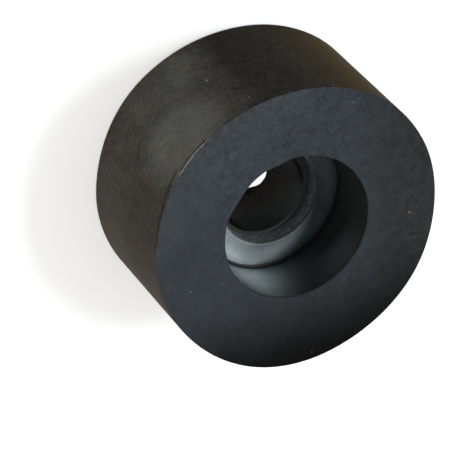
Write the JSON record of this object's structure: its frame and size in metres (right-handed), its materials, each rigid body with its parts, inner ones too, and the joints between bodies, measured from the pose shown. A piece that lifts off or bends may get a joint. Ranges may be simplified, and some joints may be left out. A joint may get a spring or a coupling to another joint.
{
  "type": "rubber foot",
  "caption": "Round moulded rubber foot with a counterbore, a through bore and a moulded-in steel washer that takes the head of a fixing.",
  "frame": {"origin": "centre of the mounting face, on the axis of the bore", "axes": "+Z along the bore, out of the counterbored ground face; X and Y are any two directions across it"},
  "size_m": [0.019, 0.019, 0.0096],
  "materials": {
    "black_rubber": "matte moulded rubber with a faint grey bloom",
    "zinc_plated_steel": "bright zinc plate on punched sheet steel"
  },
  "bodies": {
    "root": {"rubber_body": "black_rubber", "steel_washer": "zinc_plated_steel"}
  },
  "joints": []
}
